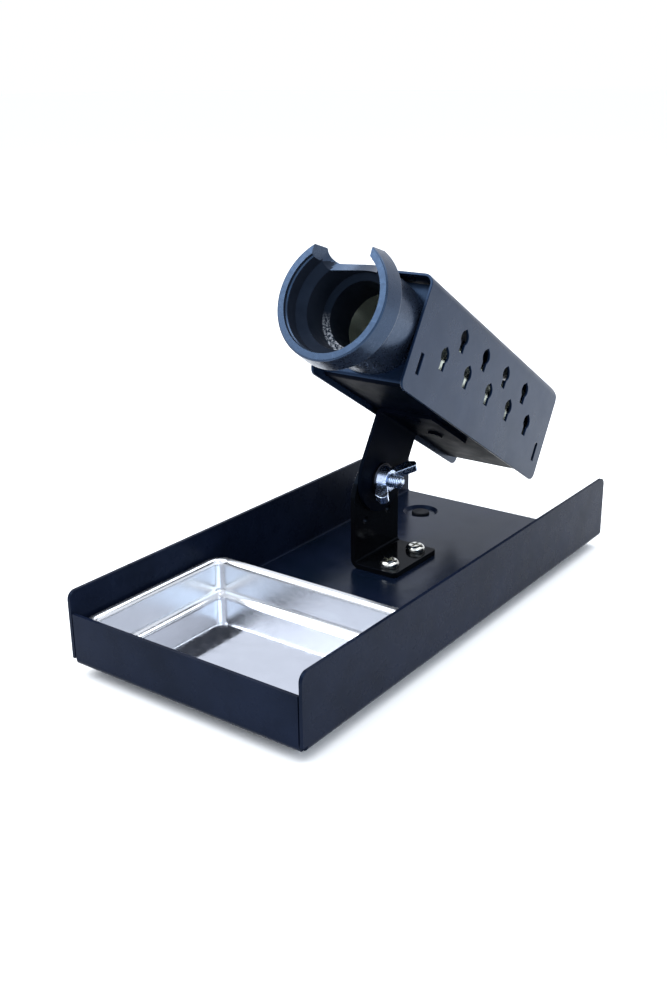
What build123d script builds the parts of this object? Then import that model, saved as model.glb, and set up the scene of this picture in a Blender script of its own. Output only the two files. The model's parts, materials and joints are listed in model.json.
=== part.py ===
"""Soldering iron stand: a folded sheet base with a sponge tray and a tilting iron holder.

Millimetres and degrees. +Z is up and the front of the stand faces -Y. The origin lies on the table,
under the middle of the stand's overall length and width.
"""

import os
from math import cos, radians, sin

from build123d import *

# Base: one folded sheet with two side walls, a lower front flap and an open rear.
BASE_W = 94.6
BASE_L = 200.0
BASE_SHEET = 1.2
WALL_H = 25.7
FLAP_H = 18.2
WALL_CORNER_R = 3.0
BEND_R = 1.4
FLAP_SIDE_GAP = 0.5
FLAP_RELIEF = 2.2

# Feet: pushed through stamped recesses in the floor.
FOOT_X = 27.3
FOOT_REAR_INSET = 19.6
FOOT_FRONT_INSET = 22.0
DISH_R = 7.5
DISH_FLOOR_R = 6.1
DISH_DEPTH = 1.2
FOOT_HOLE_R = 3.2
FOOT_NECK_R = 3.1
FOOT_PAD_R = 6.0
FOOT_PAD_H = 3.0
FOOT_HEAD_R = 3.8
FOOT_HEAD_H = 1.1
FOOT_ROUND = 0.6

# Sponge tray: drawn in one piece, with a rolled-out lip.
TRAY_W = 89.4
TRAY_L = 67.0
TRAY_H = 14.0
TRAY_SHEET = 0.6
TRAY_WALL_CORNER_R = 3.2
TRAY_LIP = 2.2
TRAY_LIP_R = 1.5
TRAY_FLOOR_R = 2.6
TRAY_FRONT_GAP = 0.6

# Pivot: the axis runs along X.
PIVOT_FROM_FRONT = 128.5
PIVOT_H = 33.8
BOLT_R = 2.5
BOLT_LENGTH = 14.0
BOLT_HEAD_H = 3.5
BOLT_HEAD_FLATS = 8.0
BOLT_CHAMFER = 0.5
BOLT_HOLE_R = 2.65
RUNNING_HOLE_R = 2.58

# L bracket on the base floor.
BRACKET_X = -17.0
BRACKET_SHEET = 2.0
BRACKET_W = 30.0
BRACKET_BEND_R = 2.5
BRACKET_TOP_R = 15.0
BRACKET_TOP_DROP = 6.5
BRACKET_FOOT_END = 3.3
BRACKET_FOOT_CORNER_R = 1.8
BRACKET_SMALL_HOLE_R = 1.5
BRACKET_SMALL_HOLE_SPREAD = 15.4
BRACKET_SMALL_HOLE_H = 18.8

# Screws through the bracket's foot.
SCREW_X = -3.0
SCREW_SPREAD = 18.4
SCREW_R = 2.0
SCREW_HOLE_R = 2.25
SCREW_LENGTH = 6.0
SCREW_HEAD_R = 3.8
SCREW_HEAD_H = 2.6
SCREW_HEAD_ROUND = 1.9
RECESS_SPAN = 4.6
RECESS_SLOT = 1.0
RECESS_DEPTH = 1.6
NUT_FLATS = 7.0
NUT_H = 3.2
NUT_BORE_R = 2.05

# Washers and wing nut, stacked along the pivot from the bracket's -X face towards +X.
HEAD_WASHER_R = 5.0
HEAD_WASHER_H = 0.8
FRICTION_WASHER_R = 7.0
FRICTION_WASHER_H = 0.5
PIVOT_WASHER_R = 6.2
PIVOT_WASHER_H = 1.0
HUB_BASE_R = 5.4
WING_HEEL = (0.3, 3.0)
WING_TIP = [(0.7, 6.0), (3.8, 11.6), (7.2, 12.6), (9.0, 10.6)]
WING_TOE = (3.4, 3.0)
HUB_H = 3.6
WING_ANGLE = 19.0
WING_T = 3.0
WING_CORNER_R = 1.6
HUB_TAPER = 18.0

# Tilting head. Stations count rearwards from the cover's front edge, heights from its lower edge.
TILT = 31.5
COVER_W = 38.0
COVER_H = 40.2
COVER_L = 118.3
COVER_SHEET = 1.0
COVER_BEND_R = 3.5
COVER_LOWER_CORNER_R = 3.2
COVER_REAR_TOP_R = 6.0
PIVOT_STATION = 56.6
PIVOT_BELOW_COVER = 22.2
HOLDER_H = 21.5

# Keyhole vents and tab slots in the cover's sides.
VENT_PITCH = 19.0
VENT_LOWER_START = 21.5
VENT_UPPER_START = 31.0
VENT_LOWER_H = 13.8
VENT_UPPER_H = 24.0
VENT_LOWER_COUNT = 5
VENT_UPPER_COUNT = 4
VENT_HEAD_R = 2.7
VENT_HEAD_H = 5.4
VENT_TAIL_W = 3.0
VENT_H = 8.7
VENT_POINT_HALF_W = 1.9
VENT_SHOULDER_H = 7.3
SLOT_L = 2.0
SLOT_H = 7.6
SLOT_BOTTOM = 7.2

# Inner frame: front plate, bottom and rear plate in one folded sheet.
FRAME_SHEET = 1.2
FRAME_HALF_W = 17.9
FRAME_BOTTOM_H = 2.0
FRAME_TOP_H = 38.7
FRAME_FRONT_STATION = 6.6
FRAME_REAR_STATION = 112.7
FRAME_TOP_CORNER_R = 3.4
FRAME_BEND_R = 1.6
FRAME_HOLE_R = 14.6
TAB_H = 7.2
TAB_RECESS = 0.6

# Tilt arm: plate beside the bracket with a flange under the inner frame.
ARM_SHEET = 1.5
ARM_W = 30.0
ARM_END_R = 15.0
ARM_END_RISE = 2.2
ARM_BEND_R = 1.75
ARM_FLANGE_END = 9.5
RIVET_X = -1.5
RIVET_SPREAD = 19.0
RIVET_R = 2.0
RIVET_HOLE_R = 2.05
RIVET_HEAD_R = 3.6
RIVET_HEAD_H = 1.4
RIVET_HEAD_ROUND = 1.0
RIVET_TAIL_R = 3.0
RIVET_TAIL_H = 0.6

# Holder mouth: turned profile, as (station, radius). Its axis droops from the holder's at the front plate.
MOUTH_DROOP = 4.8
RIM_STATION = -26.3
RIM_INNER_R = 18.4
RIM_OUTER_R = 20.5
RIM_ROUND = (-26.1, 20.95)
RIM_SIDE = (-25.6, 21.15)
RIM_LIP = (-25.2, 18.3)
RIM_STEP = (-24.7, 17.95)
RING_BULGE = (-19.0, 22.0)
RING_ROUND = (-18.5, 21.9)
RING_BACK = (-18.1, 21.5)
BODY_FRONT = (-13.6, 17.7)
BODY_REAR = (-1.0, 17.6)
BODY_ROUND = (4.4, 17.25)
BODY_FOOT = (9.0, 16.2)
LEDGE_FRONT = (-20.0, 17.9)
LEDGE_BACK = (-17.6, 14.85)
THROAT_FRONT = (-8.6, 14.5)
THROAT_BACK = (-7.7, 12.0)
SEAT_R = 13.0
SPIGOT_R = 14.4
SPIGOT_FRONT = 1.5
SPIGOT_END = 15.8
SPIGOT_CHAMFER = 0.6
NOTCH_X = -0.6
NOTCH_HALF_W = 11.4
NOTCH_CORNER_R = 11.0
NOTCH_LENGTH = 26.0
NOTCH_START = (-16.9, 8.0)
LOCK_NUT_R = 15.7
LOCK_NUT_BORE_R = 14.45
LOCK_NUT_H = 5.0
LOCK_NUT_SLOTS = 6
LOCK_NUT_SLOT_W = 2.4
LOCK_NUT_SLOT_DEPTH = 0.6

# Heat guard: perforated tube, its rear collar and the collar's rivets.
GUARD_R = 12.95
GUARD_SHEET = 0.6
GUARD_FRONT = 5.0
GUARD_REAR = 110.2
GUARD_HOLE_R = 1.6
GUARD_HOLES_ROUND = 12
GUARD_ROW_PITCH = 6.4
GUARD_ROWS = 13
GUARD_FIRST_ROW = 20.8
COLLAR_R = 13.0
COLLAR_SHEET = 0.7
COLLAR_L = 9.0
COLLAR_FLANGE_R = 15.7
COLLAR_RIVETS = 3
COLLAR_RIVET_CIRCLE_R = 14.7
COLLAR_RIVET_R = 0.6
COLLAR_RIVET_HEAD_R = 0.95
COLLAR_RIVET_HEAD_H = 0.6
COLLAR_RIVET_TAIL_R = 1.5
COLLAR_RIVET_START = 90.0
CLEARANCE = 0.05

# Places worked out from the sizes above.
BASE_BOTTOM = FOOT_PAD_H + DISH_DEPTH
FLOOR_TOP = BASE_BOTTOM + BASE_SHEET
AXIS = Vector(0, cos(radians(TILT)), -sin(radians(TILT)))
LIFT = Vector(0, sin(radians(TILT)), cos(radians(TILT)))
REAR_REACH = (
    PIVOT_FROM_FRONT
    + (COVER_L - PIVOT_STATION - COVER_REAR_TOP_R) * AXIS.Y
    + (PIVOT_BELOW_COVER + COVER_H - COVER_REAR_TOP_R) * LIFT.Y
    + COVER_REAR_TOP_R
)
FRONT_Y = -REAR_REACH / 2
TRAY_Y = FRONT_Y + BASE_SHEET + TRAY_FRONT_GAP + TRAY_L / 2
PIVOT_Y = FRONT_Y + PIVOT_FROM_FRONT
PIVOT_Z = BASE_BOTTOM + PIVOT_H
HEAD_ORIGIN = Vector(0, PIVOT_Y, PIVOT_Z) - AXIS * PIVOT_STATION + LIFT * PIVOT_BELOW_COVER
HEAD_BOTTOM = Plane(HEAD_ORIGIN, x_dir=(1, 0, 0), z_dir=LIFT)
HEAD_SIDE = Plane(HEAD_ORIGIN, x_dir=AXIS, z_dir=(1, 0, 0))
HOLDER_AXIS = Axis(HEAD_ORIGIN + LIFT * HOLDER_H, AXIS)
HOLDER_PROFILE = Plane(HEAD_ORIGIN + LIFT * HOLDER_H, x_dir=AXIS, z_dir=(1, 0, 0))
MOUTH_TILT = TILT - MOUTH_DROOP
MOUTH_AXIS = Vector(0, cos(radians(MOUTH_TILT)), -sin(radians(MOUTH_TILT)))
MOUTH_LIFT = Vector(0, sin(radians(MOUTH_TILT)), cos(radians(MOUTH_TILT)))
MOUTH_ORIGIN = HOLDER_PROFILE.origin + (AXIS - MOUTH_AXIS) * FRAME_FRONT_STATION
MOUTH_PROFILE = Plane(MOUTH_ORIGIN, x_dir=MOUTH_AXIS, z_dir=(1, 0, 0))
NOTCH_PLANE = Plane(MOUTH_ORIGIN + MOUTH_LIFT * NOTCH_START[1], x_dir=(1, 0, 0), z_dir=MOUTH_LIFT)
HEAD_UPRIGHT = Axis(HEAD_ORIGIN, LIFT)
FRAME_FRONT_BACK = FRAME_FRONT_STATION + FRAME_SHEET
FRAME_REAR_INNER = FRAME_REAR_STATION - FRAME_SHEET
BRACKET_INNER_X = BRACKET_X + BRACKET_SHEET
ARM_X = BRACKET_INNER_X + FRICTION_WASHER_H
ARM_INNER_X = ARM_X + ARM_SHEET
HUB_X = ARM_INNER_X + PIVOT_WASHER_H
BOLT_SEAT_X = BRACKET_X - HEAD_WASHER_H
SCREW_SEAT = FLOOR_TOP + BRACKET_SHEET
FOOT_POINTS = [
    (x, y)
    for x in (-FOOT_X, FOOT_X)
    for y in (FRONT_Y + FOOT_FRONT_INSET, FRONT_Y + BASE_L - FOOT_REAR_INSET)
]
SCREW_POINTS = [
    (SCREW_X, PIVOT_Y - SCREW_SPREAD / 2),
    (SCREW_X, PIVOT_Y + SCREW_SPREAD / 2),
]
PIVOT_POINT = (PIVOT_Y, PIVOT_Z)
WING_PLANE = Plane(
    (HUB_X, PIVOT_Y, PIVOT_Z),
    x_dir=(1, 0, 0),
    z_dir=(0, -sin(radians(WING_ANGLE)), cos(radians(WING_ANGLE))),
)
FRAME_BOTTOM_TOP = FRAME_BOTTOM_H + FRAME_SHEET
RIVET_POINTS = [
    (RIVET_X, PIVOT_STATION - RIVET_SPREAD / 2),
    (RIVET_X, PIVOT_STATION + RIVET_SPREAD / 2),
]
SLOT_POINTS = [
    (FRAME_FRONT_STATION + FRAME_SHEET / 2, SLOT_BOTTOM + SLOT_H / 2),
    (FRAME_REAR_STATION - FRAME_SHEET / 2, SLOT_BOTTOM + SLOT_H / 2),
]
BOTTOM_UP = (Align.CENTER, Align.CENTER, Align.MIN)
VENT_POINTS = [
    (VENT_LOWER_START + i * VENT_PITCH, VENT_LOWER_H) for i in range(VENT_LOWER_COUNT)
] + [(VENT_UPPER_START + i * VENT_PITCH, VENT_UPPER_H) for i in range(VENT_UPPER_COUNT)]


def head_station(station):
    """Plane across the head, facing rearwards, with its origin on the holder's axis."""
    return Plane(HEAD_ORIGIN + LIFT * HOLDER_H + AXIS * station, x_dir=(-1, 0, 0), z_dir=AXIS)


def keyhole_vent():
    """One vent: round head with a point at its top, and a straight tail below."""
    with BuildSketch(mode=Mode.PRIVATE) as vent:
        with Locations((0, VENT_HEAD_H)):
            Circle(VENT_HEAD_R)
        Rectangle(VENT_TAIL_W, VENT_HEAD_H, align=(Align.CENTER, Align.MIN))
        Polygon(
            (-VENT_POINT_HALF_W, VENT_SHOULDER_H),
            (VENT_POINT_HALF_W, VENT_SHOULDER_H),
            (0, VENT_H),
            align=None,
        )
    return vent.sketch


def pivot_circle(x, radius):
    """A circle about the pivot's axis, in the plane across it at x."""
    with BuildSketch(Plane.YZ.offset(x)) as circle:
        with Locations(PIVOT_POINT):
            Circle(radius)
    return circle.sketch


def save(piece, name):
    """Label a finished piece and write its file."""
    piece.part.label = name
    export_step(piece.part, f"parts/{name}.step")


os.makedirs("parts", exist_ok=True)

# Base tray. The floor and walls are one bent strip; the flap stands between the walls.
with BuildPart() as base_tray:
    with BuildSketch(Plane.XZ.offset(-FRONT_Y)):
        with BuildLine():
            FilletPolyline(
                (-BASE_W / 2 + BASE_SHEET / 2, BASE_BOTTOM + WALL_H),
                (-BASE_W / 2 + BASE_SHEET / 2, BASE_BOTTOM + BASE_SHEET / 2),
                (BASE_W / 2 - BASE_SHEET / 2, BASE_BOTTOM + BASE_SHEET / 2),
                (BASE_W / 2 - BASE_SHEET / 2, BASE_BOTTOM + WALL_H),
                radius=BEND_R,
            )
        trace(line_width=BASE_SHEET)
    extrude(amount=-BASE_L)
    fillet(base_tray.edges().filter_by(Axis.X).group_by(Axis.Z)[-1], WALL_CORNER_R)
    with BuildSketch(Plane.XY.offset(BASE_BOTTOM)):
        with Locations((0, FRONT_Y)):
            Rectangle(BASE_W, 2 * FLAP_RELIEF)
    extrude(amount=FLAP_RELIEF, mode=Mode.SUBTRACT)
    with BuildSketch(Plane.YZ):
        with BuildLine():
            FilletPolyline(
                (FRONT_Y + BASE_SHEET / 2, BASE_BOTTOM + FLAP_H),
                (FRONT_Y + BASE_SHEET / 2, BASE_BOTTOM + BASE_SHEET / 2),
                (FRONT_Y + FLAP_RELIEF + BASE_SHEET, BASE_BOTTOM + BASE_SHEET / 2),
                radius=BEND_R,
            )
        trace(line_width=BASE_SHEET)
    extrude(amount=BASE_W / 2 - BASE_SHEET - FLAP_SIDE_GAP, both=True)
    with Locations(*[(x, y, BASE_BOTTOM - DISH_DEPTH) for x, y in FOOT_POINTS]):
        Cone(DISH_FLOOR_R + BASE_SHEET, DISH_R + BASE_SHEET, DISH_DEPTH, align=BOTTOM_UP)
    with Locations(*[(x, y, FLOOR_TOP - DISH_DEPTH) for x, y in FOOT_POINTS]):
        Cone(DISH_FLOOR_R, DISH_R, DISH_DEPTH, align=BOTTOM_UP, mode=Mode.SUBTRACT)
    with Locations(*[(x, y, FOOT_PAD_H) for x, y in FOOT_POINTS]):
        Cylinder(FOOT_HOLE_R, FLOOR_TOP, align=BOTTOM_UP, mode=Mode.SUBTRACT)
    with Locations(*[(x, y, BASE_BOTTOM) for x, y in SCREW_POINTS]):
        Cylinder(SCREW_HOLE_R, BASE_SHEET, align=BOTTOM_UP, mode=Mode.SUBTRACT)
save(base_tray, "base_tray")

# Rubber feet: pad below, neck through the floor, button head in the recess.
with BuildPart() as rubber_feet:
    with Locations(*[(x, y, 0) for x, y in FOOT_POINTS]):
        Cylinder(FOOT_PAD_R, FOOT_PAD_H, align=BOTTOM_UP)
        Cylinder(FOOT_NECK_R, FOOT_PAD_H + BASE_SHEET, align=BOTTOM_UP)
    with Locations(*[(x, y, FOOT_PAD_H + BASE_SHEET) for x, y in FOOT_POINTS]):
        Cylinder(FOOT_HEAD_R, FOOT_HEAD_H, align=BOTTOM_UP)
    fillet(rubber_feet.edges().group_by(Axis.Z)[0], FOOT_ROUND)
    fillet(rubber_feet.edges().group_by(Axis.Z)[-1], FOOT_ROUND)
save(rubber_feet, "rubber_feet")

# Sponge tray, resting on the base floor behind the flap.
with BuildPart() as tray_hollow:
    with BuildSketch(Plane.XY.offset(FLOOR_TOP + TRAY_SHEET)):
        with Locations((0, TRAY_Y)):
            RectangleRounded(
                TRAY_W - 2 * TRAY_LIP - 2 * TRAY_SHEET,
                TRAY_L - 2 * TRAY_LIP - 2 * TRAY_SHEET,
                TRAY_WALL_CORNER_R,
            )
    extrude(amount=TRAY_H)
    fillet(tray_hollow.edges().group_by(Axis.Z)[0], TRAY_FLOOR_R)

with BuildPart() as sponge_tray:
    with BuildSketch(Plane.XY.offset(FLOOR_TOP)):
        with Locations((0, TRAY_Y)):
            RectangleRounded(
                TRAY_W - 2 * TRAY_LIP,
                TRAY_L - 2 * TRAY_LIP,
                TRAY_WALL_CORNER_R + TRAY_SHEET,
            )
    extrude(amount=TRAY_H - TRAY_SHEET)
    fillet(sponge_tray.edges().group_by(Axis.Z)[0], TRAY_FLOOR_R + TRAY_SHEET)
    with BuildSketch(Plane.XY.offset(FLOOR_TOP + TRAY_H - TRAY_SHEET)):
        with Locations((0, TRAY_Y)):
            RectangleRounded(TRAY_W, TRAY_L, TRAY_WALL_CORNER_R + TRAY_SHEET + TRAY_LIP)
    extrude(amount=TRAY_SHEET)
    lip_underside = sponge_tray.faces().filter_by(Axis.Z).sort_by(Axis.Z)[-2]
    fillet(lip_underside.inner_wires()[0].edges(), TRAY_LIP_R)
    add(tray_hollow.part, mode=Mode.SUBTRACT)
    lip_top = sponge_tray.faces().filter_by(Axis.Z).sort_by(Axis.Z)[-1]
    fillet(lip_top.inner_wires()[0].edges(), TRAY_LIP_R + TRAY_SHEET)
save(sponge_tray, "sponge_tray")

# Pivot bracket: bent strip, its upright trimmed to a round top.
with BuildPart() as pivot_bracket:
    with BuildSketch(Plane.XZ.offset(-PIVOT_Y)):
        with BuildLine():
            FilletPolyline(
                (BRACKET_X + BRACKET_SHEET / 2, PIVOT_Z + BRACKET_TOP_R),
                (BRACKET_X + BRACKET_SHEET / 2, FLOOR_TOP + BRACKET_SHEET / 2),
                (BRACKET_FOOT_END, FLOOR_TOP + BRACKET_SHEET / 2),
                radius=BRACKET_BEND_R,
            )
        trace(line_width=BRACKET_SHEET)
    extrude(amount=BRACKET_W / 2, both=True)
    with BuildSketch(Plane.YZ.offset(BRACKET_X)):
        with Locations((PIVOT_Y, PIVOT_Z - BRACKET_TOP_DROP)):
            Circle(BRACKET_TOP_R)
            Rectangle(BRACKET_W, PIVOT_Z, align=(Align.CENTER, Align.MAX))
    extrude(amount=BASE_W, mode=Mode.INTERSECT)
    fillet(pivot_bracket.edges().filter_by(Axis.Z).group_by(Axis.X)[-1], BRACKET_FOOT_CORNER_R)
    extrude(pivot_circle(BRACKET_X, BOLT_HOLE_R), amount=BRACKET_SHEET, mode=Mode.SUBTRACT)
    with BuildSketch(Plane.YZ.offset(BRACKET_X)):
        with Locations((PIVOT_Y, BASE_BOTTOM + BRACKET_SMALL_HOLE_H)):
            with GridLocations(BRACKET_SMALL_HOLE_SPREAD, 0, 2, 1):
                Circle(BRACKET_SMALL_HOLE_R)
    extrude(amount=BRACKET_SHEET, mode=Mode.SUBTRACT)
    with Locations(*[(x, y, FLOOR_TOP) for x, y in SCREW_POINTS]):
        Cylinder(SCREW_HOLE_R, BRACKET_SHEET, align=BOTTOM_UP, mode=Mode.SUBTRACT)
save(pivot_bracket, "pivot_bracket")

# Bracket screws: domed pan heads with a cross recess.
with BuildPart() as bracket_screws:
    with Locations(*[(x, y, SCREW_SEAT) for x, y in SCREW_POINTS]):
        Cylinder(SCREW_HEAD_R, SCREW_HEAD_H, align=BOTTOM_UP)
    fillet(bracket_screws.edges().group_by(Axis.Z)[-1], SCREW_HEAD_ROUND)
    with Locations(*[(x, y, SCREW_SEAT - SCREW_LENGTH) for x, y in SCREW_POINTS]):
        Cylinder(SCREW_R, SCREW_LENGTH, align=BOTTOM_UP)
    with Locations(*[(x, y, SCREW_SEAT + SCREW_HEAD_H - RECESS_DEPTH) for x, y in SCREW_POINTS]):
        Box(RECESS_SPAN, RECESS_SLOT, RECESS_DEPTH, align=BOTTOM_UP, mode=Mode.SUBTRACT)
        Box(RECESS_SLOT, RECESS_SPAN, RECESS_DEPTH, align=BOTTOM_UP, mode=Mode.SUBTRACT)
save(bracket_screws, "bracket_screws")

# Hexagon nuts under the base floor.
with BuildPart() as bracket_nuts:
    with BuildSketch(Plane.XY.offset(BASE_BOTTOM - NUT_H)):
        with Locations(*SCREW_POINTS):
            RegularPolygon(NUT_FLATS / 2, side_count=6, major_radius=False)
            Circle(NUT_BORE_R, mode=Mode.SUBTRACT)
    extrude(amount=NUT_H)
save(bracket_nuts, "bracket_nuts")

# Pivot bolt: hexagon head on the -X side, thread towards +X.
with BuildPart() as pivot_bolt:
    extrude(pivot_circle(BOLT_SEAT_X, BOLT_R), amount=BOLT_LENGTH)
    chamfer(pivot_bolt.edges().group_by(Axis.X)[-1], BOLT_CHAMFER)
    with BuildSketch(Plane.YZ.offset(BOLT_SEAT_X - BOLT_HEAD_H)):
        with Locations(PIVOT_POINT):
            RegularPolygon(BOLT_HEAD_FLATS / 2, side_count=6, major_radius=False)
    extrude(amount=BOLT_HEAD_H)
save(pivot_bolt, "pivot_bolt")

# Washer under the bolt's head.
with BuildPart() as pivot_bolt_washer:
    extrude(pivot_circle(BOLT_SEAT_X, HEAD_WASHER_R), amount=HEAD_WASHER_H)
    extrude(pivot_circle(BOLT_SEAT_X, BOLT_HOLE_R), amount=HEAD_WASHER_H, mode=Mode.SUBTRACT)
save(pivot_bolt_washer, "pivot_bolt_washer")

# Friction washer between the bracket and the arm.
with BuildPart() as friction_washer:
    extrude(pivot_circle(BRACKET_INNER_X, FRICTION_WASHER_R), amount=FRICTION_WASHER_H)
    extrude(pivot_circle(BRACKET_INNER_X, BOLT_HOLE_R), amount=FRICTION_WASHER_H, mode=Mode.SUBTRACT)
save(friction_washer, "friction_washer")

# Washer between the arm and the wing nut.
with BuildPart() as pivot_washer:
    extrude(pivot_circle(ARM_INNER_X, PIVOT_WASHER_R), amount=PIVOT_WASHER_H)
    extrude(pivot_circle(ARM_INNER_X, RUNNING_HOLE_R), amount=PIVOT_WASHER_H, mode=Mode.SUBTRACT)
save(pivot_washer, "pivot_washer")

# Wing nut: tapered hub and two blades that flare away from the arm, in one plane through the axis.
with BuildPart() as wing_nut:
    with BuildSketch(WING_PLANE) as wings:
        with BuildLine():
            Polyline(WING_TOE, WING_HEEL, *WING_TIP, WING_TOE)
        make_face()
        fillet(wings.vertices().group_by(Axis.Y)[-3:], WING_CORNER_R)
        mirror(about=Plane.XZ)
    extrude(amount=WING_T / 2, both=True)
    extrude(pivot_circle(HUB_X, HUB_BASE_R), amount=HUB_H, taper=HUB_TAPER)
    extrude(pivot_circle(HUB_X, RUNNING_HOLE_R), amount=BASE_W, mode=Mode.SUBTRACT)
save(wing_nut, "wing_nut")

# Tilt arm: bent strip across the head, its plate trimmed to a round end below the pivot.
with BuildPart() as tilt_arm:
    with BuildSketch(Plane(HEAD_ORIGIN + AXIS * PIVOT_STATION, x_dir=(1, 0, 0), z_dir=-AXIS)):
        with BuildLine():
            FilletPolyline(
                (ARM_X + ARM_SHEET / 2, -PIVOT_BELOW_COVER - ARM_END_R),
                (ARM_X + ARM_SHEET / 2, FRAME_BOTTOM_H - ARM_SHEET / 2),
                (ARM_FLANGE_END, FRAME_BOTTOM_H - ARM_SHEET / 2),
                radius=ARM_BEND_R,
            )
        trace(line_width=ARM_SHEET)
    extrude(amount=ARM_W / 2, both=True)
    with BuildSketch(HEAD_SIDE.offset(ARM_X)):
        with Locations((PIVOT_STATION, ARM_END_RISE - PIVOT_BELOW_COVER)):
            Circle(ARM_END_R)
            Rectangle(ARM_W, COVER_H, align=(Align.CENTER, Align.MIN))
    extrude(amount=COVER_W, mode=Mode.INTERSECT)
    extrude(pivot_circle(ARM_X, RUNNING_HOLE_R), amount=ARM_SHEET, mode=Mode.SUBTRACT)
    with BuildSketch(HEAD_BOTTOM):
        with Locations(*RIVET_POINTS):
            Circle(RIVET_HOLE_R)
    extrude(amount=FRAME_BOTTOM_H, mode=Mode.SUBTRACT)
save(tilt_arm, "tilt_arm")

# Rivets from the arm's flange up into the inner frame: low tail below, round head inside.
with BuildPart() as arm_rivets:
    with BuildSketch(HEAD_BOTTOM.offset(FRAME_BOTTOM_TOP)):
        with Locations(*RIVET_POINTS):
            Circle(RIVET_HEAD_R)
    extrude(amount=RIVET_HEAD_H)
    fillet(arm_rivets.edges().group_by(HEAD_UPRIGHT)[-1], RIVET_HEAD_ROUND)
    with BuildSketch(HEAD_BOTTOM.offset(FRAME_BOTTOM_TOP)):
        with Locations(*RIVET_POINTS):
            Circle(RIVET_R)
    extrude(amount=-ARM_SHEET - FRAME_SHEET)
    with BuildSketch(HEAD_BOTTOM.offset(FRAME_BOTTOM_H - ARM_SHEET)):
        with Locations(*RIVET_POINTS):
            Circle(RIVET_TAIL_R)
    extrude(amount=-RIVET_TAIL_H)
save(arm_rivets, "arm_rivets")

# Inner frame: front plate, bottom and rear plate in one strip, with tabs for the cover's slots.
with BuildPart() as inner_frame:
    with BuildSketch(HEAD_SIDE):
        with BuildLine():
            FilletPolyline(
                (FRAME_FRONT_STATION + FRAME_SHEET / 2, FRAME_TOP_H),
                (FRAME_FRONT_STATION + FRAME_SHEET / 2, FRAME_BOTTOM_H + FRAME_SHEET / 2),
                (FRAME_REAR_STATION - FRAME_SHEET / 2, FRAME_BOTTOM_H + FRAME_SHEET / 2),
                (FRAME_REAR_STATION - FRAME_SHEET / 2, FRAME_TOP_H),
                radius=FRAME_BEND_R,
            )
        trace(line_width=FRAME_SHEET)
    extrude(amount=FRAME_HALF_W, both=True)
    plate_corners = inner_frame.edges().filter_by(HOLDER_AXIS).group_by(HEAD_UPRIGHT)[-1]
    fillet(plate_corners, FRAME_TOP_CORNER_R)
    for side in (HEAD_SIDE.offset(FRAME_HALF_W), HEAD_SIDE.offset(TAB_RECESS - COVER_W / 2)):
        with BuildSketch(side):
            with Locations(*SLOT_POINTS):
                Rectangle(FRAME_SHEET, TAB_H)
        extrude(amount=COVER_W / 2 - FRAME_HALF_W - TAB_RECESS)
    with BuildSketch(head_station(FRAME_FRONT_STATION)):
        Circle(FRAME_HOLE_R)
    extrude(amount=FRAME_SHEET, mode=Mode.SUBTRACT)
    with BuildSketch(head_station(FRAME_REAR_INNER)):
        with PolarLocations(COLLAR_RIVET_CIRCLE_R, COLLAR_RIVETS, start_angle=COLLAR_RIVET_START):
            Circle(COLLAR_RIVET_R + CLEARANCE)
    extrude(amount=FRAME_SHEET, mode=Mode.SUBTRACT)
    with BuildSketch(HEAD_BOTTOM.offset(FRAME_BOTTOM_H)):
        with Locations(*RIVET_POINTS):
            Circle(RIVET_HOLE_R)
    extrude(amount=FRAME_SHEET, mode=Mode.SUBTRACT)
save(inner_frame, "inner_frame")

# Head cover: inverted U with rounded side corners, keyhole vents and tab slots.
with BuildPart() as head_cover:
    with BuildSketch(Plane(HEAD_ORIGIN, x_dir=(1, 0, 0), z_dir=-AXIS)):
        with BuildLine():
            FilletPolyline(
                (COVER_SHEET / 2 - COVER_W / 2, 0),
                (COVER_SHEET / 2 - COVER_W / 2, COVER_H - COVER_SHEET / 2),
                (COVER_W / 2 - COVER_SHEET / 2, COVER_H - COVER_SHEET / 2),
                (COVER_W / 2 - COVER_SHEET / 2, 0),
                radius=COVER_BEND_R,
            )
        trace(line_width=COVER_SHEET)
    extrude(amount=-COVER_L)
    with BuildSketch(HEAD_SIDE) as cover_outline:
        Rectangle(COVER_L, COVER_H, align=(Align.MIN, Align.MIN))
        fillet(cover_outline.vertices().group_by(Axis.Y)[0], COVER_LOWER_CORNER_R)
        fillet(cover_outline.vertices().group_by(Axis.Y)[-1].sort_by(Axis.X)[-1], COVER_REAR_TOP_R)
    extrude(amount=COVER_W, both=True, mode=Mode.INTERSECT)
    with BuildSketch(HEAD_SIDE):
        with Locations(*VENT_POINTS):
            add(keyhole_vent())
        with Locations(*SLOT_POINTS):
            Rectangle(SLOT_L, SLOT_H)
    extrude(amount=COVER_W, both=True, mode=Mode.SUBTRACT)
save(head_cover, "head_cover")

# Holder mouth: turned about its own axis, with a flared ring, and trimmed to stand on the front plate. Its
# spigot runs through the plate along the holder's axis. The notch in its top leans back at 45 degrees.
with BuildPart() as mouth_hollow:
    with BuildSketch(MOUTH_PROFILE):
        with BuildLine():
            Polyline(
                (RIM_STATION, 0),
                (RIM_STATION, RIM_INNER_R),
                RIM_LIP,
                RIM_STEP,
                LEDGE_FRONT,
                LEDGE_BACK,
                THROAT_FRONT,
                THROAT_BACK,
                (BODY_FOOT[0], THROAT_BACK[1]),
                (BODY_FOOT[0], 0),
                close=True,
            )
        make_face()
    revolve(axis=Axis(MOUTH_ORIGIN, MOUTH_AXIS))
    with BuildSketch(head_station(GUARD_FRONT)):
        Rectangle(COVER_H, COVER_H)
    extrude(amount=SPIGOT_END, mode=Mode.SUBTRACT)
    with BuildSketch(head_station(GUARD_FRONT)):
        Circle(SEAT_R)
    extrude(amount=SPIGOT_END - GUARD_FRONT)

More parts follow.
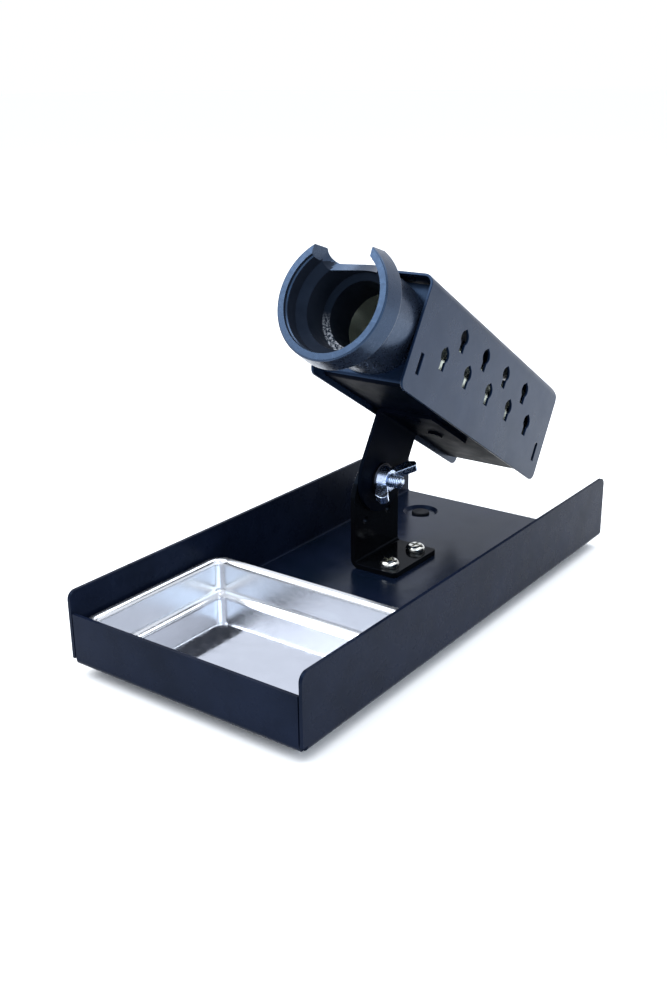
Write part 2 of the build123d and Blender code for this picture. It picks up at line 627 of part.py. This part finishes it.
with BuildPart() as holder_funnel:
    with BuildSketch(MOUTH_PROFILE):
        with BuildLine():
            rim = Polyline((RIM_STATION, 0), (RIM_STATION, RIM_OUTER_R))
            rim_round = ThreePointArc(rim @ 1, RIM_ROUND, RIM_SIDE)
            ring = Line(rim_round @ 1, RING_BULGE)
            ring_round = ThreePointArc(ring @ 1, RING_ROUND, RING_BACK)
            body = Polyline(ring_round @ 1, BODY_FRONT, BODY_REAR)
            body_round = ThreePointArc(body @ 1, BODY_ROUND, BODY_FOOT)
            Polyline(body_round @ 1, (BODY_FOOT[0], 0), rim @ 0)
        make_face()
    revolve(axis=Axis(MOUTH_ORIGIN, MOUTH_AXIS))
    with BuildSketch(head_station(FRAME_FRONT_STATION)):
        Rectangle(COVER_H, COVER_H)
    extrude(amount=SPIGOT_END, mode=Mode.SUBTRACT)
    with BuildSketch(head_station(SPIGOT_FRONT)):
        Circle(SPIGOT_R)
    extrude(amount=SPIGOT_END - SPIGOT_FRONT)
    chamfer(holder_funnel.edges().sort_by(HOLDER_AXIS)[-1], SPIGOT_CHAMFER)
    add(mouth_hollow.part, mode=Mode.SUBTRACT)
    with BuildSketch(NOTCH_PLANE) as notch:
        with Locations((NOTCH_X, NOTCH_START[0])):
            Rectangle(2 * NOTCH_HALF_W, NOTCH_LENGTH, align=(Align.CENTER, Align.MAX))
        fillet(notch.vertices().group_by(Axis.Y)[-1], NOTCH_CORNER_R)
    extrude(amount=COVER_H, dir=MOUTH_LIFT + MOUTH_AXIS, mode=Mode.SUBTRACT)
save(holder_funnel, "holder_funnel")

# Ring nut that clamps the mouth to the front plate.
with BuildPart() as holder_lock_nut:
    with BuildSketch(head_station(FRAME_FRONT_BACK)):
        Circle(LOCK_NUT_R)
        Circle(LOCK_NUT_BORE_R, mode=Mode.SUBTRACT)
        with PolarLocations(LOCK_NUT_R, LOCK_NUT_SLOTS):
            Rectangle(2 * LOCK_NUT_SLOT_DEPTH, LOCK_NUT_SLOT_W, mode=Mode.SUBTRACT)
    extrude(amount=LOCK_NUT_H)
save(holder_lock_nut, "holder_lock_nut")

# Heat guard tube, perforated all along.
with BuildPart() as guard_tube:
    with BuildSketch(head_station(GUARD_FRONT)):
        Circle(GUARD_R)
        Circle(GUARD_R - GUARD_SHEET, mode=Mode.SUBTRACT)
    extrude(amount=GUARD_REAR - GUARD_FRONT)
    for turn in range(GUARD_HOLES_ROUND // 2):
        angle = 360 * turn / GUARD_HOLES_ROUND
        stagger = GUARD_ROW_PITCH / 2 * (turn % 2)
        across = Vector(cos(radians(angle)), 0, 0) + LIFT * sin(radians(angle))
        with BuildSketch(Plane(HOLDER_AXIS.position, x_dir=AXIS, z_dir=across)):
            for row in range(GUARD_ROWS):
                with Locations((GUARD_FIRST_ROW + stagger + row * GUARD_ROW_PITCH, 0)):
                    Circle(GUARD_HOLE_R)
        extrude(amount=2 * GUARD_R, both=True, mode=Mode.SUBTRACT)
save(guard_tube, "guard_tube")

# Flanged collar on the rear plate that carries the guard tube's end.
with BuildPart() as guard_collar:
    with BuildSketch(head_station(FRAME_REAR_INNER)):
        Circle(COLLAR_FLANGE_R)
        Circle(COLLAR_R, mode=Mode.SUBTRACT)
        with PolarLocations(COLLAR_RIVET_CIRCLE_R, COLLAR_RIVETS, start_angle=COLLAR_RIVET_START):
            Circle(COLLAR_RIVET_R + CLEARANCE, mode=Mode.SUBTRACT)
    extrude(amount=-COLLAR_SHEET)
    with BuildSketch(head_station(FRAME_REAR_INNER)):
        Circle(COLLAR_R + COLLAR_SHEET)
        Circle(COLLAR_R, mode=Mode.SUBTRACT)
    extrude(amount=-COLLAR_L)
save(guard_collar, "guard_collar")

# Rivets through the collar's flange and the rear plate.
with BuildPart() as collar_rivets:
    with BuildSketch(head_station(FRAME_REAR_INNER - COLLAR_SHEET - COLLAR_RIVET_HEAD_H)):
        with PolarLocations(COLLAR_RIVET_CIRCLE_R, COLLAR_RIVETS, start_angle=COLLAR_RIVET_START):
            Circle(COLLAR_RIVET_HEAD_R)
    extrude(amount=COLLAR_RIVET_HEAD_H)
    with BuildSketch(head_station(FRAME_REAR_INNER - COLLAR_SHEET)):
        with PolarLocations(COLLAR_RIVET_CIRCLE_R, COLLAR_RIVETS, start_angle=COLLAR_RIVET_START):
            Circle(COLLAR_RIVET_R)
    extrude(amount=COLLAR_SHEET + FRAME_SHEET)
    with BuildSketch(head_station(FRAME_REAR_STATION)):
        with PolarLocations(COLLAR_RIVET_CIRCLE_R, COLLAR_RIVETS, start_angle=COLLAR_RIVET_START):
            Circle(COLLAR_RIVET_TAIL_R)
    extrude(amount=COLLAR_RIVET_HEAD_H)
save(collar_rivets, "collar_rivets")
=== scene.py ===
"""Looks, light and camera for the soldering iron stand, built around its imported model.

Metres and radians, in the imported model's frame: +Z is up and the stand's front faces -Y.
"""

import json
from math import cos, pi, radians, sin

import bmesh
import bpy
from mathutils import Matrix, Vector


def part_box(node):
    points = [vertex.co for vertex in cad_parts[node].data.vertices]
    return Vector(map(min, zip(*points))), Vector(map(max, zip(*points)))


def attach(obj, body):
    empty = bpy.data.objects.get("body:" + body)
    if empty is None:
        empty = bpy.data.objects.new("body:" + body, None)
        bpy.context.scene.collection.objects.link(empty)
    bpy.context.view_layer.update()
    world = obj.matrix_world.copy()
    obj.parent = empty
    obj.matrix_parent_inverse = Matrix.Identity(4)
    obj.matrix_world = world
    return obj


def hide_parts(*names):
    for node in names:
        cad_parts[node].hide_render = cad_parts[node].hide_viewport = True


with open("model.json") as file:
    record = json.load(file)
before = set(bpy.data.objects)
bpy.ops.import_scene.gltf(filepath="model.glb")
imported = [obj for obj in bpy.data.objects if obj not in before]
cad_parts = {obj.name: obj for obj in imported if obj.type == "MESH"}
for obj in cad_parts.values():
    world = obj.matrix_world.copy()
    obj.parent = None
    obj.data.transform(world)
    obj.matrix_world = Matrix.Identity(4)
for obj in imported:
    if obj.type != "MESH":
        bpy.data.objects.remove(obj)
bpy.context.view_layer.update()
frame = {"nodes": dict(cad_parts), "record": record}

MM = 0.001

# The camera, as fitted to the base's edges.
CAMERA_PLACE = Vector((220.3, -324.8, 183.5)) * MM
CAMERA_HEADING = radians(36.40)
CAMERA_DROP = radians(20.23)
CAMERA_ROLL = radians(-0.66)
CAMERA_LENS = 41.55
CAMERA_SENSOR = 36.0

# Half the pale floor's side.
FLOOR_REACH = 12.0

record = frame["record"]
nodes = frame["nodes"]
slot_of = {part["node"]: part["material_slot"] for part in record["subparts"]}
body_of = {node: body for body, members in record["behaviour"]["bodies"].items() for node in members}
mounts = {mount["name"]: mount for mount in record["mounts"]}
bore_middle = Vector(mounts["iron_bore"]["pos_m"])
head_front = Vector(mounts["iron_bore"]["axis"])
base_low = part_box("base_tray")[0][2]


# ---------------------------------------------------------------- materials
class Shader:
    """A material under construction: one Principled shader and the nodes that feed it."""

    def __init__(self, name, **sockets):
        self.material = bpy.data.materials.new(name)
        self.material.use_nodes = True
        self.tree = self.material.node_tree
        self.principled = next(n for n in self.tree.nodes if n.type == "BSDF_PRINCIPLED")
        for socket, value in sockets.items():
            self.principled.inputs[socket.replace("_", " ")].default_value = value
        self.place = self.tree.nodes.new("ShaderNodeTexCoord").outputs["Object"]

    def add(self, kind, **settings):
        """A node of that kind, with its attributes set and its inputs set or linked."""
        node = self.tree.nodes.new("ShaderNode" + kind)
        for name, value in settings.items():
            if name in node.inputs:
                if isinstance(value, bpy.types.NodeSocket):
                    self.tree.links.new(value, node.inputs[name])
                else:
                    node.inputs[name].default_value = value
            else:
                setattr(node, name, value)
        return node

    def feed(self, socket, value):
        """Link a node's output to a socket of the Principled shader."""
        self.tree.links.new(value, self.principled.inputs[socket])

    def noise(self, scale, detail=3.0, roughness=0.55, stretch=(1, 1, 1)):
        """Noise from 0 to 1 whose features are about 1/scale metres wide."""
        place = self.add("Mapping", Vector=self.place, Scale=stretch).outputs["Vector"]
        node = self.add("TexNoise", Vector=place, Scale=scale, Detail=detail, Roughness=roughness)
        return node.outputs["Fac"]

    def spread(self, value, low, high, start=0.35, end=0.65):
        """value, remapped so that start..end becomes low..high."""
        node = self.add("MapRange")
        for name, number in zip(("From Min", "From Max", "To Min", "To Max"), (start, end, low, high)):
            node.inputs[name].default_value = number
        self.tree.links.new(value, node.inputs["Value"])
        return node.outputs["Result"]

    def mix(self, amount, first, second):
        """A colour between first and second."""
        node = self.add("Mix", data_type="RGBA")
        self.tree.links.new(amount, node.inputs["Factor"])
        node.inputs["A"].default_value = (*first, 1)
        node.inputs["B"].default_value = (*second, 1)
        return next(out for out in node.outputs if out.type == "RGBA")

    def bump(self, height, strength, distance):
        """Relief of that height in metres, on top of any relief made before."""
        node = self.add("Bump", Strength=strength, Distance=distance, Height=height)
        old = self.principled.inputs["Normal"]
        if old.is_linked:
            self.tree.links.new(old.links[0].from_socket, node.inputs["Normal"])
        self.feed("Normal", node.outputs["Normal"])


def paint(name, dark, light, gloss, sheen, peel):
    """Powder coat: faint orange peel, uneven sheen and slightly uneven colour."""
    shader = Shader(name, IOR=1.52, Specular_IOR_Level=sheen, Specular_Tint=(0.27, 0.52, 1.0, 1))
    shader.feed("Base Color", shader.mix(shader.spread(shader.noise(55.0), 0, 1), dark, light))
    shader.feed("Roughness", shader.spread(shader.noise(130.0, detail=5.0), gloss - 0.04, gloss + 0.05))
    shader.bump(shader.noise(1500.0, detail=2.0), peel, 0.03 * MM)
    shader.bump(shader.noise(420.0, detail=1.0), peel * 0.7, 0.06 * MM)
    return shader.material


def moulded_plastic(name, gloss, sheen, grain):
    """Black thermoset moulding: fine grain, soft sheen."""
    shader = Shader(name, IOR=1.50, Specular_IOR_Level=sheen, Specular_Tint=(0.32, 0.56, 1.0, 1))
    mottle = shader.spread(shader.noise(90.0), 0, 1)
    shader.feed("Base Color", shader.mix(mottle, (0.005, 0.007, 0.012), (0.009, 0.012, 0.019)))
    shader.feed("Roughness", shader.spread(shader.noise(700.0, detail=4.0), gloss - 0.05, gloss + 0.06))
    shader.bump(shader.noise(2600.0, detail=3.0), grain, 0.02 * MM)
    return shader.material


def rough_plastic(name, low, high):
    """The bore edge: rough moulding with a light speckle that is a painted glint, thinning out from height
    low to height high as a painted highlight.
    """
    shader = Shader(name, IOR=1.50, Specular_IOR_Level=0.15, Specular_Tint=(0.32, 0.56, 1.0, 1))
    speck = shader.spread(shader.noise(1500.0, detail=4.0, roughness=0.7), 0, 1, 0.46, 0.60)
    height = shader.add("SeparateXYZ", Vector=shader.place).outputs["Z"]
    # Painted glint: the light speckle, faded out with height.
    painted_glint_inputs = shader.add("Math", operation="MULTIPLY").inputs
    shader.tree.links.new(speck, painted_glint_inputs[0])
    shader.tree.links.new(shader.spread(height, 1, 0, low, high), painted_glint_inputs[1])
    amount = painted_glint_inputs[0].node.outputs[0]
    shader.feed("Base Color", shader.mix(amount, (0.005, 0.007, 0.011), (0.50, 0.52, 0.55)))
    shader.feed("Roughness", shader.spread(shader.noise(900.0), 0.35, 0.5))
    shader.bump(shader.noise(1700.0, detail=4.0), 0.5, 0.06 * MM)
    return shader.material


def brushed(name, colour, gloss, stretch, grain, metal):
    """Bright sheet whose grain is finest along the axis that stretch enlarges most."""
    shader = Shader(name, Metallic=metal)
    shade = shader.spread(shader.noise(40.0, detail=4.0), 0, 1)
    shader.feed("Base Color", shader.mix(shade, tuple(0.9 * c for c in colour), colour))
    lines = shader.noise(900.0, detail=4.0, stretch=stretch)
    shader.feed("Roughness", shader.spread(lines, gloss, gloss + 0.05))
    shader.bump(lines, grain, 0.02 * MM)
    return shader.material


def polished(name, colour, gloss, wobble, metal):
    """Polished metal: near mirror, with faint haze and slow waves in the sheet."""
    shader = Shader(name, Metallic=metal)
    shade = shader.spread(shader.noise(70.0), 0, 1)
    shader.feed("Base Color", shader.mix(shade, tuple(0.94 * c for c in colour), colour))
    shader.feed("Roughness", shader.spread(shader.noise(350.0, detail=6.0), gloss, gloss + 0.07))
    shader.bump(shader.noise(60.0, detail=1.0), wobble, 0.25 * MM)
    shader.bump(shader.noise(1500.0, detail=2.0), wobble * 0.5, 0.01 * MM)
    return shader.material


def plated(name, bright, dull, gloss):
    """Plated steel: mottled, with small dull spots."""
    shader = Shader(name, Metallic=1.0)
    spots = shader.spread(shader.noise(800.0, detail=5.0, roughness=0.65), 0, 1, 0.5, 0.72)
    shader.feed("Base Color", shader.mix(spots, bright, dull))
    shader.feed("Roughness", shader.spread(spots, gloss, gloss + 0.25, 0.0, 1.0))
    shader.bump(shader.noise(1200.0, detail=4.0), 0.3, 0.03 * MM)
    return shader.material


def matte(name, dark, light, rough):
    """Rubber and fibre: dull, with a fine mottle."""
    shader = Shader(name, Specular_IOR_Level=0.05)
    shader.feed("Base Color", shader.mix(shader.spread(shader.noise(600.0), 0, 1), dark, light))
    shader.feed("Roughness", shader.spread(shader.noise(300.0), rough - 0.1, rough + 0.1))
    shader.bump(shader.noise(1500.0), 0.3, 0.05 * MM)
    return shader.material


finishes = {
    "blue_black_paint": paint(
        "blue_black_paint", (0.003, 0.007, 0.017), (0.005, 0.010, 0.024), gloss=0.30, sheen=0.30, peel=0.10
    ),
    "gloss_black_paint": paint(
        "gloss_black_paint", (0.002, 0.002, 0.003), (0.003, 0.004, 0.005), gloss=0.12, sheen=0.03, peel=0.06
    ),
    "stainless": brushed(
        "stainless", (0.80, 0.81, 0.83), gloss=0.22, stretch=(0.4, 0.4, 1.5), grain=0.02, metal=0.97
    ),
    "nickel_plate": plated("nickel_plate", (0.80, 0.80, 0.74), (0.42, 0.40, 0.34), gloss=0.16),
    "zinc_plate": plated("zinc_plate", (0.68, 0.79, 0.98), (0.34, 0.46, 0.74), gloss=0.24),
    "dark_steel": plated("dark_steel", (0.05, 0.05, 0.06), (0.02, 0.02, 0.025), gloss=0.35),
    "fibre": matte("fibre", (0.09, 0.045, 0.03), (0.14, 0.07, 0.045), rough=0.7),
    "foot_rubber": matte("foot_rubber", (0.003, 0.004, 0.006), (0.008, 0.009, 0.012), rough=0.5),
    "black_moulding": moulded_plastic("black_moulding", gloss=0.30, sheen=0.80, grain=0.08),
    "perforated_steel": brushed(
        "perforated_steel", (0.58, 0.63, 0.55), gloss=0.20, stretch=(1.0, 1.0, 1.0), grain=0.3, metal=0.75
    ),
}

# Versions of those finishes for single faces and for pieces in shade. The darker, duller copies of the paint
# below are painted shade, not a different finish.
# The base's walls, flap and underside: the same paint with painted shade, darker and with less sheen.
wall_painted_shade_paint = paint(
    "wall_painted_shade_paint", (0.003, 0.005, 0.012), (0.005, 0.008, 0.019), gloss=0.28, sheen=0.05, peel=0.10
)
# The frame's underside, the tilt arm and its rivets: the same paint with heavy painted shade, near black and
# almost without sheen.
underside_painted_shade_paint = paint(
    "underside_painted_shade_paint", (0.001, 0.002, 0.004), (0.002, 0.003, 0.007), gloss=0.4, sheen=0.01, peel=0.10
)
# The base's floor: the same paint with painted shade, a little darker and with less sheen than the head.
floor_painted_shade_paint = paint(
    "floor_painted_shade_paint", (0.002, 0.005, 0.012), (0.004, 0.007, 0.018), gloss=0.22, sheen=0.16, peel=0.10
)
# The mouth's inside: the same moulding with less sheen, a painted shade.
inside_painted_shade_moulding = moulded_plastic("inside_painted_shade_moulding", gloss=0.42, sheen=0.10, grain=0.12)
# Painted shade for the thread's grooves: a darker copy of the zinc.
groove_painted_shade_zinc = plated("groove_painted_shade_zinc", (0.20, 0.24, 0.32), (0.08, 0.10, 0.14), gloss=0.35)
tray_mirror = polished("tray_mirror", (0.60, 0.63, 0.70), gloss=0.03, wobble=0.05, metal=0.96)
# The bore edge's painted glint: a light speckle that fades with height.
bore_painted_glint_moulding = rough_plastic("bore_painted_glint_moulding", low=bore_middle.z - 5 * MM, high=bore_middle.z + 3 * MM)


# ---------------------------------------------------------------- mesh helpers
def new_piece(name, shape, stands_for, materials=None):
    """Give finished geometry its object, its finish and its body, and hide the CAD node it stands for."""
    mesh = bpy.data.meshes.new(name)
    shape.to_mesh(mesh)
    shape.free()
    piece = bpy.data.objects.new(name, mesh)
    bpy.context.scene.collection.objects.link(piece)
    for material in materials or [finishes[slot_of[stands_for]]]:
        mesh.materials.append(material)
    mesh.shade_smooth()
    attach(piece, body_of[stands_for])
    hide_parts(stands_for)
    return piece


def cad_mesh(node):
    """A CAD node's mesh as a bmesh, with its triangles joined into flat faces."""
    shape = bmesh.new()
    shape.from_mesh(nodes[node].data)
    for layer in list(shape.loops.layers.float_vector.values()):
        shape.loops.layers.float_vector.remove(layer)
    bmesh.ops.remove_doubles(shape, verts=shape.verts, dist=0.002 * MM)
    bmesh.ops.dissolve_limit(shape, angle_limit=radians(0.4), verts=shape.verts, edges=shape.edges)
    return shape


def even_normals(piece):
    """Shade flat faces flat and let the narrow ones between them turn."""
    weights = piece.modifiers.new("normals", "WEIGHTED_NORMAL")
    weights.mode = "FACE_AREA"
    weights.weight = 80
    return piece


def round_edges(piece, width, segments=3, angle=28.0):
    """Round a piece's sharp edges and keep its flat faces flat."""
    bevel = piece.modifiers.new("edges", "BEVEL")
    bevel.width = width
    bevel.segments = segments
    bevel.limit_method = "ANGLE"
    bevel.angle_limit = radians(angle)
    return even_normals(piece)


def edged(node, width, materials=None, second=None):
    """A CAD node's own shape with its edges rounded. Faces that second picks take the second material."""
    shape = cad_mesh(node)
    for face in shape.faces:
        face.material_index = int(bool(second and second(face)))
    return round_edges(new_piece(node + "_edged", shape, node, materials), width)


def cast(node, grain, passes):
    """A CAD node's own shape as a casting: every edge and inner corner flows into the next."""
    piece = new_piece(node + "_cast", cad_mesh(node), node)
    voxels = piece.modifiers.new("voxels", "REMESH")
    voxels.mode = "VOXEL"
    voxels.voxel_size = grain
    voxels.use_smooth_shade = True
    soften = piece.modifiers.new("soften", "SMOOTH")
    soften.factor = 0.5
    soften.iterations = passes
    return piece


def loft(shape, loops):
    """Join equally long closed loops of points with faces, close both ends and return the end faces."""
    rings = [[shape.verts.new(point) for point in loop] for loop in loops]
    for near, far in zip(rings, rings[1:]):
        for i in range(len(near)):
            k = (i + 1) % len(near)
            shape.faces.new((near[i], near[k], far[k], far[i]))
    return shape.faces.new(list(reversed(rings[0]))), shape.faces.new(rings[-1])


def rounded_rectangle(width, length, radius, height, centre, steps=8):
    """A closed loop of points, its corners turned with that radius."""
    points = []
    for quarter, (sign_x, sign_y) in enumerate(((1, 1), (-1, 1), (-1, -1), (1, -1))):
        corner = Vector((sign_x * (width / 2 - radius), sign_y * (length / 2 - radius), 0))
        for step in range(steps + 1):
            turn = (quarter + step / steps) * pi / 2
            reach = Vector((radius * cos(turn), radius * sin(turn), 0))
            points.append(Vector((centre[0], centre[1], height)) + corner + reach)
    return points


def around_x(reach, turn):
    """A step of that length across X."""
    return Vector((0, reach * cos(turn), reach * sin(turn)))


# ---------------------------------------------------------------- pieces
def sponge_tray():
    """Drawn tray: rolled-out lip, brushed walls and a mirror-bright floor."""
    low, high = (Vector(corner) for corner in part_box("sponge_tray"))
    size = high - low
    top, bottom = high.z, low.z
    sheet, edge, corner = 0.6 * MM, 0.25 * MM, 6.0 * MM
    lip, lip_turn = 0.7 * MM, 2.1 * MM
    wall, floor_turn = 2.8 * MM, 2.6 * MM
    quarter = [i / 6 * pi / 2 for i in range(7)]
    # (inset from the lip's outline, height): up the outside, over the lip and down the inside.
    outside = [
        (wall - sheet + (floor_turn + sheet) * (1 - sin(a)), bottom + (floor_turn + sheet) * (1 - cos(a)))
        for a in quarter
    ]
    outside += [
        (lip + (lip_turn - sheet) * cos(a), top - sheet - (lip_turn - sheet) * (1 - sin(a))) for a in quarter
    ]
    outside += [(edge, top - sheet)]
    inside = [(edge * (1 - sin(a)), top - edge * (1 - cos(a))) for a in reversed(quarter)]
    inside += [(lip + lip_turn * sin(a), top - lip_turn * (1 - cos(a))) for a in quarter]
    inside += [
        (wall + floor_turn * (1 - cos(a)), bottom + sheet + floor_turn * (1 - sin(a))) for a in quarter
    ]
    shape = bmesh.new()
    loops = [
        rounded_rectangle(
            size.x - 2 * inset, size.y - 2 * inset, max(corner - inset, sheet), height, (low + high) / 2
        )
        for inset, height in outside + inside
    ]
    tray_floor = loft(shape, loops)[1]
    tray_floor.material_index = 1
    bmesh.ops.remove_doubles(shape, verts=shape.verts, dist=0.001 * MM)
    even_normals(new_piece("sponge_tray_drawn", shape, "sponge_tray", [finishes["stainless"], tray_mirror]))


def pivot_bolt():
    """Hexagon head with rounded corners, and a rod with a rolled thread, with painted shade in its grooves.
    """
    low, high = (Vector(corner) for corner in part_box("pivot_bolt"))
    middle = (low + high) / 2
    radius, pitch, depth, head = 2.5 * MM, 0.8 * MM, 0.5 * MM, 3.5 * MM
    start, end = low.x + head - 0.2 * MM, high.x
    chamfer = 0.6 * MM
    around, rows_per_pitch = 40, 8
    rows = int((end - low.x - head) / pitch * rows_per_pitch)

    def reach(x, turn):
        """The thread's radius at x, turn being from 0 to 1."""
        groove = abs(2 * ((x / pitch - turn) % 1.0) - 1)
        return min(radius - depth * min(1.0, 1.15 * groove), radius - 0.9 * max(0.0, x - end + chamfer))

    shape = bmesh.new()
    loft(shape, [
        [
            Vector((x, middle.y, middle.z)) + around_x(reach(x, k / around), 2 * pi * k / around)
            for k in range(around)
        ]
        for x in (start + (end - start) * row / rows for row in range(rows + 1))
    ])
    # Painted shade: the faces deep in the grooves take the darker zinc.
    for face in shape.faces:
        away = face.calc_center_median() - middle
        in_groove = Vector((0, away.y, away.z)).length < radius - 0.75 * depth
        face.material_index = int(in_groove and len(face.verts) == 4)
    new_piece("pivot_bolt_thread", shape, "pivot_bolt", [finishes["zinc_plate"], groove_painted_shade_zinc])

    corner = (high.z - low.z) / 2 / cos(pi / 6)
    shape = bmesh.new()
    loft(shape, [
        [Vector((x, middle.y, middle.z)) + around_x(size, k * pi / 3) for k in range(6)]
        for x, size in (
            (low.x, corner - 0.5 * MM),
            (low.x + 0.35 * MM, corner - 0.02 * MM),
            (low.x + head, corner - 0.02 * MM),
        )
    ])
    round_edges(new_piece("pivot_bolt_head", shape, "pivot_bolt"), 0.15 * MM)


def holder_mouth():
    """The moulded mouth: soft edges, painted shade inside, and a painted glint on the bore edge that fades
    upward.
    """
    painted_glint_depth, painted_glint_radius = 8.5 * MM, 14.6 * MM
    ring_depth, inner_radius = 22 * MM, 18.3 * MM
    shape = cad_mesh("holder_funnel")
    for face in shape.faces:
        away = face.calc_center_median() - bore_middle
        along = away.dot(head_front)
        across = away - along * head_front
        faces_front = face.normal.dot(head_front) > 0.3
        faces_inward = face.normal.dot(across) < 0
        # The bore edge takes the painted glint.
        if faces_front and along < painted_glint_depth and across.length < painted_glint_radius:
            face.material_index = 1
        # Faces inside the mouth take the painted shade.
        elif faces_inward and across.length < inner_radius and not (faces_front and along > ring_depth):
            face.material_index = 2
    materials = [finishes["black_moulding"], bore_painted_glint_moulding, inside_painted_shade_moulding]
    mouth = new_piece("holder_mouth", shape, "holder_funnel", materials)
    round_edges(mouth, 0.5 * MM, segments=4, angle=24.0)


def is_base_floor(face):
    """Whether a face of the base lies low and looks up."""
    return face.normal.z > 0.9 and face.calc_center_median().z < base_low + 5 * MM


def is_head_front(face):
    """Whether a face of the frame looks the way the mouth opens."""
    return face.normal.dot(head_front) > 0.9


# Painted shade: the base's walls and floor, the frame's underside, the tilt arm and its rivets take the
# darker, duller copies of the paint.
edged("base_tray", 0.22 * MM, [wall_painted_shade_paint, floor_painted_shade_paint], is_base_floor)
edged("inner_frame", 0.20 * MM, [underside_painted_shade_paint, finishes["blue_black_paint"]], is_head_front)
edged("tilt_arm", 0.22 * MM, [underside_painted_shade_paint])
edged("arm_rivets", 0.15 * MM, [underside_painted_shade_paint])

# Edge widths, in millimetres, of the pieces that keep their node's own finish.
EDGE_OF = {
    "head_cover": 0.20,
    "pivot_bracket": 0.28,
    "bracket_screws": 0.10,
    "bracket_nuts": 0.15,
    "pivot_bolt_washer": 0.10,
    "pivot_washer": 0.12,
}
for node, width in EDGE_OF.items():
    edged(node, width * MM)
cast("wing_nut", grain=0.13 * MM, passes=7)
sponge_tray()
pivot_bolt()
holder_mouth()

for node, part in nodes.items():
    part.data.materials.clear()
    part.data.materials.append(finishes[slot_of[node]])


# ---------------------------------------------------------------- floor, light and camera
def floor():
    """A plain pale floor under the stand."""
    shape = bmesh.new()
    bmesh.ops.create_grid(shape, x_segments=1, y_segments=1, size=FLOOR_REACH)
    mesh = bpy.data.meshes.new("floor")
    shape.to_mesh(mesh)
    shape.free()
    ground = bpy.data.objects.new("floor", mesh)
    bpy.context.scene.collection.objects.link(ground)
    shader = Shader("floor", Roughness=0.85, Specular_IOR_Level=0.1)
    shader.feed("Base Color", shader.mix(shader.noise(3.0), (0.985, 0.975, 0.955), (0.995, 0.985, 0.965)))
    mesh.materials.append(shader.material)


def softbox(name, place, aim, size, power, colour):
    """A rectangular area light at place, turned towards aim. power is in watts."""
    light = bpy.data.lights.new(name, "AREA")
    light.color = colour
    light.shape = "RECTANGLE"
    light.size, light.size_y = size
    light.energy = power
    lamp = bpy.data.objects.new(name, light)
    bpy.context.scene.collection.objects.link(lamp)
    lamp.location = place
    lamp.rotation_mode = "QUATERNION"
    lamp.rotation_quaternion = (Vector(aim) - Vector(place)).to_track_quat("-Z", "Y")


def studio():
    """Faintly blue surroundings, bright enough to show as white, and three softboxes."""
    world = bpy.data.worlds.new("studio")
    world.use_nodes = True
    background = world.node_tree.nodes["Background"]
    background.inputs["Color"].default_value = (1.0, 1.04, 1.13, 1)
    background.inputs["Strength"].default_value = 1.0
    bpy.context.scene.world = world
    softbox("key", (-0.55, -0.45, 0.85), (0, 0, 0.06), (0.7, 0.7), 9.0, (0.92, 0.96, 1.0))
    softbox("top", (0.15, 0.35, 1.0), (0, 0, 0.05), (1.0, 0.8), 9.0, (0.90, 0.95, 1.0))
    softbox("fill", (0.9, -0.5, 0.45), (0, 0, 0.06), (0.8, 0.5), 3.0, (0.66, 0.84, 1.0))
    bpy.context.scene.view_settings.view_transform = "Standard"


def camera():
    """The photograph's viewpoint."""
    data = bpy.data.cameras.new("camera")
    data.sensor_width = CAMERA_SENSOR
    data.lens = CAMERA_LENS
    data.clip_start, data.clip_end = 0.01, 20.0
    eye = bpy.data.objects.new("camera", data)
    bpy.context.scene.collection.objects.link(eye)
    eye.rotation_mode = "QUATERNION"
    ahead = Vector((
        -sin(CAMERA_HEADING) * cos(CAMERA_DROP),
        cos(CAMERA_HEADING) * cos(CAMERA_DROP),
        -sin(CAMERA_DROP),
    ))
    eye.location = CAMERA_PLACE
    level = ahead.to_track_quat("-Z", "Y")
    eye.rotation_quaternion = (level.to_matrix() @ Matrix.Rotation(CAMERA_ROLL, 3, "Z")).to_quaternion()
    bpy.context.scene.camera = eye


floor()
studio()
camera()
